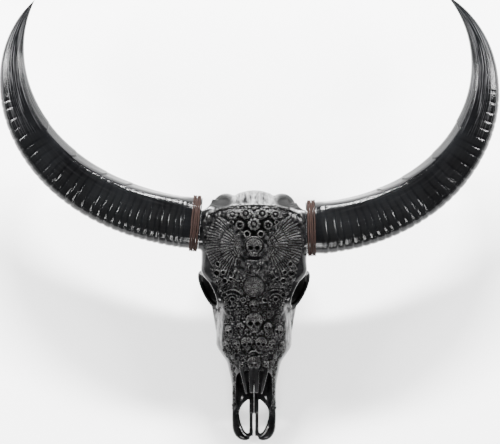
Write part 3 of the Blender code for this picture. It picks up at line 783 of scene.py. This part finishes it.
# Flat ends for the horn sheaths, flat feet on the floor, and the sutures that part the bones.
for horn in HORNS.values():
    centre, along, outer, upper = horn_frame(horn, 0.0)
    turn = Matrix((outer, upper, along)).transposed().to_4x4()
    box("horn_joint", (-75, -75, -GAP / 2), (75, 75, 60), cutters,
        Matrix.Translation(centre * MM) @ turn)
box("floor_level", (-150, -50, -60), (150, 560, 0), cutters)
half = GAP / 2
meet = (NASAL_START[1] + NASAL_SLOPE * (INCISIVE_Y - NASAL_START[0])) / (
    1 - NASAL_SLOPE * math.tan(INCISIVE_LEAN))
top = meet / math.cos(INCISIVE_LEAN) + 0.6
leaning = Matrix.Translation(Vector((0, INCISIVE_Y, 0)) * MM)
leaning = leaning @ Matrix.Rotation(-INCISIVE_LEAN, 4, "X")
box("incisive_suture", (-70, -half, -20), (70, half, top), cutters, leaning)
box("middle_suture", (-half, -150, -95), (half, 0, 88), cutters, leaning)
box("middle_suture", (-half, -8, 80), (half, 0, top), cutters, leaning)
rising = Matrix.Translation(Vector((0, *NASAL_START)) * MM)
rising = rising @ Matrix.Rotation(math.atan(NASAL_SLOPE), 4, "X")
reach = (NASAL_END - NASAL_START[0]) / math.cos(math.atan(NASAL_SLOPE))
box("nasal_suture", (-50, -10, -half), (50, reach, half), cutters, rising)
box("nasal_root", (-50, reach - GAP, -half), (50, reach, 40), cutters, rising)
boolean(whole, "DIFFERENCE", cutters)
empty_of(cutters)


def new_finish(name):
    """A material, with short ways to add and link its nodes."""
    material = bpy.data.materials.new(name)
    material.use_nodes = True
    tree = material.node_tree
    shader = tree.nodes["Principled BSDF"]

    def add(kind, **settings):
        node = tree.nodes.new(kind)
        for key, value in settings.items():
            setattr(node, key, value)
        return node

    def put(node, socket, value):
        target = node.inputs[socket]
        if isinstance(value, bpy.types.NodeSocket):
            tree.links.new(value, target)
        else:
            target.default_value = value
        return node

    def maths(operation, a, b):
        node = add("ShaderNodeMath", operation=operation)
        put(node, 0, a)
        put(node, 1, b)
        return node.outputs[0]

    def noise(scale, detail=4.0, roughness=0.55, stretch=None, place=None):
        if place is None:
            place = add("ShaderNodeTexCoord").outputs["Object"]
        if stretch is not None:
            mapping = add("ShaderNodeMapping")
            put(mapping, "Vector", place)
            mapping.inputs["Scale"].default_value = stretch
            place = mapping.outputs[0]
        node = add("ShaderNodeTexNoise")
        put(node, "Vector", place)
        put(node, "Scale", scale)
        put(node, "Detail", detail)
        put(node, "Roughness", roughness)
        return node.outputs["Fac"]

    def span(value, low, high, to_low=0.0, to_high=1.0):
        node = add("ShaderNodeMapRange")
        for socket, item in zip(range(5), (value, low, high, to_low, to_high)):
            put(node, socket, item)
        return node.outputs[0]

    def mix(factor, a, b):
        node = add("ShaderNodeMix", data_type="RGBA")
        put(node, 0, factor)
        for socket, item in ((6, a), (7, b)):
            if isinstance(item, tuple):
                item = (*item, 1.0)
            put(node, socket, item)
        return node.outputs[2]

    def attribute(name):
        return add("ShaderNodeAttribute", attribute_name=name).outputs["Fac"]

    def bump(height_value, distance, strength, normal=None):
        node = add("ShaderNodeBump")
        put(node, "Height", height_value)
        put(node, "Distance", distance)
        put(node, "Strength", strength)
        if normal is not None:
            put(node, "Normal", normal)
        return node.outputs[0]

    return material, shader, put, maths, noise, span, mix, attribute, bump


bone, shader, put, maths, noise, span, mix, attribute, bump = new_finish("blackened_bone")
cut_in, level, dull_and_shaded = attribute("carved"), attribute("relief"), attribute("dull_and_shaded")
cloud = noise(28.0)
grain = noise(420.0, 6.0, 0.65)
pits = noise(1400.0, 3.0, 0.6)
streaks = noise(60.0, 5.0, 0.6, (3.0, 0.7, 0.7))
dark = mix(span(cloud, 0.35, 0.68), (0.0008, 0.0008, 0.0009), (0.007, 0.007, 0.0073))
# Painted sheen: silvery grey streaks in place of the polished bone's reflection of the lamps.
painted_sheen_colour = mix(span(streaks, 0.38, 0.62), (0.010, 0.010, 0.0104), (0.24, 0.24, 0.24))
polished = mix(maths("MULTIPLY", attribute("painted_sheen"), span(cloud, 0.3, 0.6, 0.45, 1.0)), dark, painted_sheen_colour)
# Painted light on the carving: raised parts lighter with a fine stipple of painted glints, in patches of
# random tone, and deep recesses black as painted shade.
patchy = span(noise(75.0, 3.0), 0.36, 0.60, 0.22, 1.0)
painted_glint_stipple = maths("MULTIPLY", span(grain, 0.42, 0.58), patchy)
lighter_crests = mix(painted_glint_stipple, (0.001, 0.001, 0.0011), (0.036, 0.0355, 0.0345))
low = mix(span(level, -2.2, -0.9), (0.0, 0.0, 0.0), (0.0016, 0.0016, 0.0017))
high = mix(span(level, -0.9, 1.5), low, lighter_crests)
colour = mix(cut_in, polished, high)
# Painted shade: near black in the lower eye sockets and the hollows beside the crown.
put(shader, "Base Color", mix(dull_and_shaded, colour, (0.0004, 0.0004, 0.0004)))
shader.inputs["IOR"].default_value = 1.5
shader.inputs["Specular IOR Level"].default_value = 0.11
rough = maths("ADD", span(grain, 0.3, 0.7, 0.12, 0.22), maths("MULTIPLY", dull_and_shaded, 0.5))
put(shader, "Roughness", rough)
hammered = maths("MULTIPLY", noise(520.0, 2.0, 0.5), span(cut_in, 0.0, 1.0, 0.12, 1.0))
fine = maths("MULTIPLY", pits, span(cut_in, 0.0, 1.0, 0.25, 1.0))
put(shader, "Normal", bump(fine, 0.0003, 0.3, bump(hammered, 0.0012, 0.45)))

# Each bone that the sutures part becomes a piece of its own.
bm = bmesh.new()
bm.from_mesh(whole.data)
layers = {name: bm.verts.layers.float[name] for name in ("relief", "carved", "dull_and_shaded", "painted_sheen")}
unseen, groups = dict.fromkeys(bm.verts), []
while unseen:
    queue = [unseen.popitem()[0]]
    group = []
    while queue:
        vertex = queue.pop()
        group.append(vertex)
        for edge in vertex.link_edges:
            other = edge.other_vert(vertex)
            if other in unseen:
                del unseen[other]
                queue.append(other)
    groups.append(group)
groups.sort(key=len, reverse=True)
named, FEWEST_POINTS = [], 200
for group in groups:
    centre = sum((v.co for v in group), Vector()) / len(group) / MM
    if not named:
        name = "cranium"
    elif centre.z > 100:
        name = "nasal_bones"
    else:
        name = "premaxilla_left" if centre.x < 0 else "premaxilla_right"
    if name in named or len(group) < FEWEST_POINTS:
        continue
    index = {v: i for i, v in enumerate(group)}
    faces = dict.fromkeys(f for v in group for f in v.link_faces)
    mesh = bpy.data.meshes.new("carved_" + name)
    mesh.from_pydata([v.co for v in group], [], [[index[v] for v in f.verts] for f in faces])
    for layer_name, layer in layers.items():
        store(mesh, layer_name, [v[layer] for v in group])
    mesh.transform(Matrix.Translation(SKULL_PLACE * MM))
    mesh.shade_smooth()
    mesh.materials.append(bone)
    obj = linked("carved_" + name, mesh, skull_parts)
    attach(obj, "root")
    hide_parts(name)
    named.append(name)
bm.free()
bpy.data.objects.remove(whole)

# Cheek teeth. Six a side, tall squared crowns with ribs down the cheek side, of enamel and dentine,
# blackened with the bone; they stand in sockets in the cranium and carry its front end.

tooth, shader, put, maths, noise, span, mix, attribute, bump = new_finish("blackened_tooth")
streaks = noise(60.0, 5.0, 0.6, (9.0, 9.0, 1.0))
put(shader, "Base Color", mix(span(streaks, 0.35, 0.7), (0.003, 0.0028, 0.0025), (0.016, 0.015, 0.013)))
put(shader, "Roughness", span(streaks, 0.3, 0.7, 0.22, 0.42))
put(shader, "Normal", bump(streaks, 0.0008, 0.5))

TOOTH_LENGTHS = (18.0, 20.0, 22.0, 26.0, 29.0, 31.0)
TOOTH_ROW_START, TOOTH_GAP, TOOTH_SQUARENESS = 150.0, 1.2, 3.6
bm = bmesh.new()
for side in (-1, 1):
    start = TOOTH_ROW_START
    for k, length in enumerate(TOOTH_LENGTHS):
        place = k / (len(TOOTH_LENGTHS) - 1)
        centre_x = 41 + 13 * math.sin(math.pi / 2 * place**0.8)
        half_width = 7.6 + 3.6 * place
        rings = []
        for z, grow in ((0.0, -4.5), (0.9, -3.2), (0.0, -2.0), (0.1, -0.9), (1.2, -0.3), (4.0, 0.0),
                        (14.0, 0.3), (22.0, 0.2), (28.0, -0.6), (36.0, -2.2)):
            ring = []
            for i in range(72):
                c, s = rounded(2 * math.pi * i / 72, TOOTH_SQUARENESS)
                ribs = 0.55 * math.cos(6.0 * s * math.pi) if c > 0 else 0.3 * math.cos(3 * s * math.pi)
                ribs *= abs(c) ** 0.5
                x = centre_x + (half_width + grow + ribs) * c
                y = start + length / 2 + (length / 2 - 0.3 + grow * 0.45) * s
                ring.append((side * x, y, z))
            rings.append(ring)
        add_skin(bm, rings)
        start += length + TOOTH_GAP
teeth = object_of("cheek_teeth", bm, skull_parts)
teeth.data.transform(Matrix.Translation(SKULL_PLACE * MM))
teeth.data.shade_smooth()
teeth.data.materials.append(tooth)
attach(teeth, "root")
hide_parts("cranium")

# Horns. Keratin sheaths over bony cores, near black and oiled to a gloss: growth ridges cross the
# broad outer face from the root to past half way, the inner band is smooth behind a blunt keel,
# thin layers of keratin end in steps along the inner edge, and the tips are worn smooth, with pale streaks
# of painted highlight.

TIP_LENGTH, GROOVE_WIDTH = 26, 2.3
FLAKE_STEPS = [(0.24, 26), (0.33, 34), (0.45, 40), (0.58, 50)]
horn_skin, shader, put, maths, noise, span, mix, attribute, bump = new_finish("polished_horn")
along, ridge = attribute("along"), attribute("ridge")
grain_place = shader.id_data.nodes.new("ShaderNodeCombineXYZ")
for axis, value, scale in ((0, along, 14.0), (1, attribute("round_x"), 260.0),
                           (2, attribute("round_y"), 260.0)):
    put(grain_place, axis, maths("MULTIPLY", value, scale))
fibre = noise(1.0, 5.0, 0.5, place=grain_place.outputs[0])
cloud = noise(14.0, 3.0)
speckle = noise(900.0, 3.0, 0.6)
black = mix(span(cloud, 0.35, 0.65), (0.0010, 0.0010, 0.0012), (0.0028, 0.0030, 0.0034))
lighter_crests = mix(maths("MULTIPLY", span(ridge, 0.5, 1.0), 0.5), black, (0.0055, 0.0055, 0.0055))
streaked = mix(maths("MULTIPLY", span(fibre, 0.52, 0.75), 0.5), lighter_crests, (0.005, 0.005, 0.0054))
# Painted highlight: pale streaks along the fibres towards the tips.
painted_tip_highlight = maths("MULTIPLY", span(along, 0.40, 0.56), span(fibre, 0.50, 0.66))
put(shader, "Base Color", mix(painted_tip_highlight, streaked, (0.055, 0.055, 0.057)))
put(shader, "Roughness", span(fibre, 0.3, 0.7, 0.10, 0.20))
shader.inputs["IOR"].default_value = 1.5
shader.inputs["Specular IOR Level"].default_value = 0.15
put(shader, "Normal", bump(speckle, 0.0004, 0.35, bump(fibre, 0.0009, 0.55)))


def round_section(angles):
    """Points of the neck's rounded section, as shares of its half width and half thickness."""
    c, s = np.cos(angles), np.sin(angles)
    power = 2 / NECK_ROUNDNESS
    return np.sign(c) * np.abs(c) ** power, np.sign(s) * np.abs(s) ** power


def away_from(angles, middle):
    return np.arctan2(np.sin(angles - middle), np.cos(angles - middle))


def horn_rows(horn, quick):
    """Points of the sheath, ring by ring, with how far along, how far round and how ridged each is."""
    rng = np.random.default_rng(horn["seed"])
    length = horn["length"]
    sides = 64 if quick else 128
    step = 2.4 if quick else 1.2
    first, last = NECK_LENGTH + 8, length * 0.70
    spans = rng.uniform(0.75, 1.25, horn["ridges"]) * np.linspace(0.80, 1.25, horn["ridges"])
    grooves = first + (last - first) * np.concatenate(([0], np.cumsum(spans))) / spans.sum()
    strengths = rng.uniform(0.55, 1.0, len(grooves))
    tilts = rng.uniform(-0.8, 0.8, len(grooves))
    towards_end = (1 - np.linspace(0, 1, 26)) ** 1.5
    places = np.concatenate((np.arange(GAP / 2, length - TIP_LENGTH, step),
                             length - TIP_LENGTH * towards_end * 0.999 - 0.02))
    angles = np.arange(sides) * 2 * math.pi / sides
    across, over = round_section(angles)
    wander = [rng.uniform(0, 6.28, 5) for _ in range(3)]
    points, ridged = [], []
    for s in places:
        centre, _, outer, upper = horn_frame(horn, s)
        t = min(1.0, s / length)
        wide = horn["half_width"] * (1 - horn["slope"] * t - (1 - horn["slope"]) * t ** horn["taper"])
        blend = min(1.0, max(0.0, (s - NECK_LENGTH) / 9))
        half_width = NECK_HALF_WIDTH + (wide - NECK_HALF_WIDTH) * blend
        neck = min(1.0, max(0.0, (s - NECK_LENGTH) / 30))
        thinness = NECK_HALF_THICKNESS / NECK_HALF_WIDTH * (1 - neck) + HORN_THINNESS * neck
        thinness += 0.16 * max(0.0, t - 0.5)
        keel_at = math.radians(140 - 45 * t)
        away = away_from(angles, keel_at)
        keel = 0.07 * neck * hump(away, 0.30)
        hollow = 0.05 * neck * hump(away - 0.62, 0.34)
        flat = 0.05 * neck * hump(angles - math.radians(65), 0.6)
        scale = 1 + keel - flat - hollow
        k = np.searchsorted(grooves, s)
        wobble = 1.1 * np.sin(3 * angles + wander[0][0]) + 0.8 * np.sin(7 * angles + wander[0][1] + s / 40)
        dent = np.zeros(sides)
        for m in range(max(0, k - 2), min(len(grooves), k + 2)):
            off = s - grooves[m] + wobble * 0.8 + tilts[m] * np.sin(angles)
            dent += strengths[m] * hump(off, GROOVE_WIDTH)
        off_face = np.abs(away_from(angles, keel_at - 1.75))
        face = 0.10 + 0.90 / (1 + np.exp((off_face - 1.45) * 7))
        fade = 1.0 if first < s < last else max(0.0, 1 - abs(s - (first if s <= first else last)) / 14)
        fade *= 1 - 0.55 * t / 0.7
        swell = (1.0 - 2.2 * np.clip(dent, 0, 1.1)) * face * fade * (k > 0)
        inner_edge = hump(away_from(angles, 2.75), 0.55)
        flake = np.zeros(sides)
        for share, tail in FLAKE_STEPS:
            off = s - share * length - 6 * np.sin(5 * angles + 9 * share)
            flake += np.where(off > 0, 1.8 * np.exp(-np.clip(off, 0, None) / tail), 0.0)
        ripple = 0.35 * np.sin(s / 23 + wander[1][0]) * np.sin(2 * angles + wander[1][1])
        push = (swell + flake * inner_edge * neck + ripple * neck) * min(1.0, (length - s) / 160)
        u = (half_width * scale + push) * across
        v = (half_width * thinness * scale + push) * over
        centre = np.array(centre)
        points.append(centre + np.outer(u, np.array(outer)) + np.outer(v, np.array(upper)))
        ridged.append(np.clip((swell / 1.6) * 0.5 + 0.5, 0, 1))
    return np.array(points), places, angles, np.array(ridged)


def tube_faces(rings, sides, first=0):
    """Faces of a tube with closed ends, whose points run ring by ring from number first."""
    index = np.arange(rings * sides).reshape(rings, sides) + first
    a, b = index[:-1], index[1:]
    quads = np.stack((a, np.roll(a, -1, 1), np.roll(b, -1, 1), b), axis=-1).reshape(-1, 4)
    return quads.tolist() + [index[0][::-1].tolist(), index[-1].tolist()]


def tube_mesh(name, points):
    faces = tube_faces(*points.shape[:2])
    mesh = bpy.data.meshes.new(name)
    mesh.from_pydata((points.reshape(-1, 3) * MM).tolist(), [], faces)
    bm = bmesh.new()
    bm.from_mesh(mesh)
    bm.normal_update()
    bmesh.ops.recalc_face_normals(bm, faces=bm.faces)
    bm.to_mesh(mesh)
    bm.free()
    return mesh


for name, horn in HORNS.items():
    points, places, angles, ridged = horn_rows(horn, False)
    mesh = tube_mesh("ridged_horn_" + name, points + np.array(SKULL_PLACE))
    rings, sides = ridged.shape
    store(mesh, "along", np.repeat(places, sides) * MM)
    store(mesh, "round_x", np.tile(np.cos(angles), rings) * 0.05)
    store(mesh, "round_y", np.tile(np.sin(angles), rings) * 0.05)
    store(mesh, "ridge", ridged)
    mesh.shade_smooth()
    mesh.materials.append(horn_skin)
    obj = linked("ridged_horn_" + name, mesh, skull_parts)
    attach(obj, "root")
    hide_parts("horn_" + name)

# Bindings. Brown jute cord of three twisted strands, wound close round each horn's neck over the
# joint between sheath and core, four turns a side, with loose fibres standing off it.

cord, shader, put, maths, noise, span, mix, attribute, bump = new_finish("brown_cord")
hairs = noise(2200.0, 4.0, 0.7, (0.25, 1.0, 1.0))
patches = noise(330.0, 3.0)
brown = mix(span(patches, 0.40, 0.60), (0.0007, 0.0004, 0.0003), (0.0095, 0.0040, 0.0031))
put(shader, "Base Color", mix(span(hairs, 0.45, 0.66), brown, (0.044, 0.023, 0.018)))
shader.inputs["Roughness"].default_value = 0.92
shader.inputs["Specular IOR Level"].default_value = 0.1
shader.inputs["Sheen Weight"].default_value = 0.02
shader.inputs["Sheen Roughness"].default_value = 0.5
put(shader, "Normal", bump(hairs, 0.0008, 0.9))

CORD_DIAMETER, CORD_TURNS, TWIST_LENGTH = 3.8, 4, 11.0
STRAND_OFFSET, STRAND_RADIUS, STRAND_SIDES = 0.92, 1.02, 8
HAIR_COUNT, HAIR_HALF_WIDTH = (1300), 0.16
for name, horn in HORNS.items():
    rng = np.random.default_rng(horn["seed"] + 20)
    radius, pitch = CORD_DIAMETER / 2, CORD_DIAMETER + 0.35
    count = CORD_TURNS * 220
    centre, along, outer, upper = (np.array(part) for part in horn_frame(horn, 0.5 + radius))
    turns = np.linspace(0, CORD_TURNS, count)
    angles = 2 * math.pi * turns - math.pi / 2
    across, over = round_section(angles)
    clear = radius + 0.65
    slack = 0.3 * np.sin(turns * 9.1 + 1) + 0.25 * np.sin(turns * 23.7) + 0.15 * np.sin(turns * 61.0)
    path = (centre + np.outer(pitch * turns + slack, along)
            + np.outer((NECK_HALF_WIDTH + clear) * across, outer)
            + np.outer((NECK_HALF_THICKNESS + clear) * over, upper))
    ahead = np.gradient(path, axis=0)
    ahead /= np.linalg.norm(ahead, axis=1)[:, None]
    out = np.outer(across, outer) + np.outer(over, upper)
    out -= np.sum(out * ahead, axis=1)[:, None] * ahead
    out /= np.linalg.norm(out, axis=1)[:, None]
    beside = np.cross(ahead, out)
    run = np.concatenate(([0], np.cumsum(np.linalg.norm(np.diff(path, axis=0), axis=1))))
    verts, faces = [], []
    for strand in range(3):
        twist = (2 * math.pi * (run / TWIST_LENGTH + strand / 3))[:, None]
        middle = path + STRAND_OFFSET * (np.cos(twist) * out + np.sin(twist) * beside)
        skin = []
        for i in range(STRAND_SIDES):
            a = 2 * math.pi * i / STRAND_SIDES
            fat = (STRAND_RADIUS + 0.10 * np.sin(run * 1.9 + strand * 2 + i))[:, None]
            skin.append(middle + math.cos(a) * fat * out + math.sin(a) * fat * beside)
        faces += tube_faces(count, STRAND_SIDES, len(verts))
        verts += np.stack(skin, axis=1).reshape(-1, 3).tolist()
    for _ in range(HAIR_COUNT):
        k = rng.integers(3, count - 3)
        lean = rng.uniform(-1.35, 1.35)
        off_cord = out[k] * math.cos(lean) + beside[k] * math.sin(lean)
        root = path[k] + radius * 0.8 * off_cord
        way = off_cord + ahead[k] * rng.uniform(-1.8, 1.8)
        way /= np.linalg.norm(way)
        tip = root + way * rng.uniform(1.4, 3.6)
        thick = HAIR_HALF_WIDTH * beside[k]
        base = len(verts)
        verts += [p.tolist() for p in (root - thick, root + thick, root + HAIR_HALF_WIDTH * ahead[k], tip)]
        faces += [[base + i for i in corners] for corners in ((0, 1, 3), (1, 2, 3), (2, 0, 3), (0, 2, 1))]
    mesh = bpy.data.meshes.new("twisted_binding_" + name)
    verts = (np.array(verts) + np.array(SKULL_PLACE)) * MM
    mesh.from_pydata(verts.tolist(), [], faces)
    mesh.shade_smooth()
    mesh.materials.append(cord)
    obj = linked("twisted_binding_" + name, mesh, skull_parts)
    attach(obj, "root")
    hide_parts("binding_" + name)

# Room. A plain pale floor under the skull, which lies on it as it would rest, lit by four long strip
# lights as in a product studio, and a long lens straight above that fills the picture with the horns.

floor_paint, shader, put, maths, noise, span, mix, attribute, bump = new_finish("pale_floor")
put(shader, "Base Color", mix(span(noise(3.0, 2.0), 0.3, 0.7), (0.92, 0.92, 0.92), (0.94, 0.94, 0.94)))
put(shader, "Roughness", span(noise(120.0, 2.0), 0.3, 0.7, 0.75, 0.85))
bm = bmesh.new()
bmesh.ops.create_grid(bm, x_segments=1, y_segments=1, size=6.0)
floor = object_of("floor", bm, bpy.context.scene.collection)
floor.data.materials.append(floor_paint)

world = bpy.data.worlds.new("soft_room")
bpy.context.scene.world = world
world.use_nodes = True
world.node_tree.nodes["Background"].inputs[0].default_value = (1.0, 1.0, 1.0, 1.0)
world.node_tree.nodes["Background"].inputs[1].default_value = 0.3


def soft_light(name, place, size, power):
    light = bpy.data.lights.new(name, "AREA")
    light.shape = "RECTANGLE"
    light.size, light.size_y = size
    light.energy = power
    obj = linked(name, light, bpy.context.scene.collection)
    obj.location = place
    obj.rotation_mode = "QUATERNION"
    obj.rotation_quaternion = (Vector((0, 0, 0.1)) - Vector(place)).to_track_quat("-Z", "Y")


soft_light("top_back", (0.0, 2.6, 1.5), (1.4, 0.14), 820)
soft_light("left_strip", (-2.6, 0.3, 1.4), (0.14, 1.2), 245)
soft_light("right_strip", (2.6, 0.3, 1.4), (0.14, 1.2), 215)
soft_light("front_low", (0.0, -2.6, 1.3), (1.2, 0.14), 135)

LENS, SENSOR_WIDTH, SEEN_WIDTH, HORN_LEVEL = 900, 36, 1.025, 0.15
lens = bpy.data.cameras.new("camera")
lens.lens = LENS
lens.sensor_width = SENSOR_WIDTH
camera = linked("camera", lens, bpy.context.scene.collection)
distance = SEEN_WIDTH / 2 / (SENSOR_WIDTH / 2 / LENS)
camera.location = (0.0011, -0.0062, HORN_LEVEL + distance)
lens.clip_end = 100
bpy.context.scene.camera = camera

for spare in (forms, cutters):
    bpy.data.collections.remove(spare)
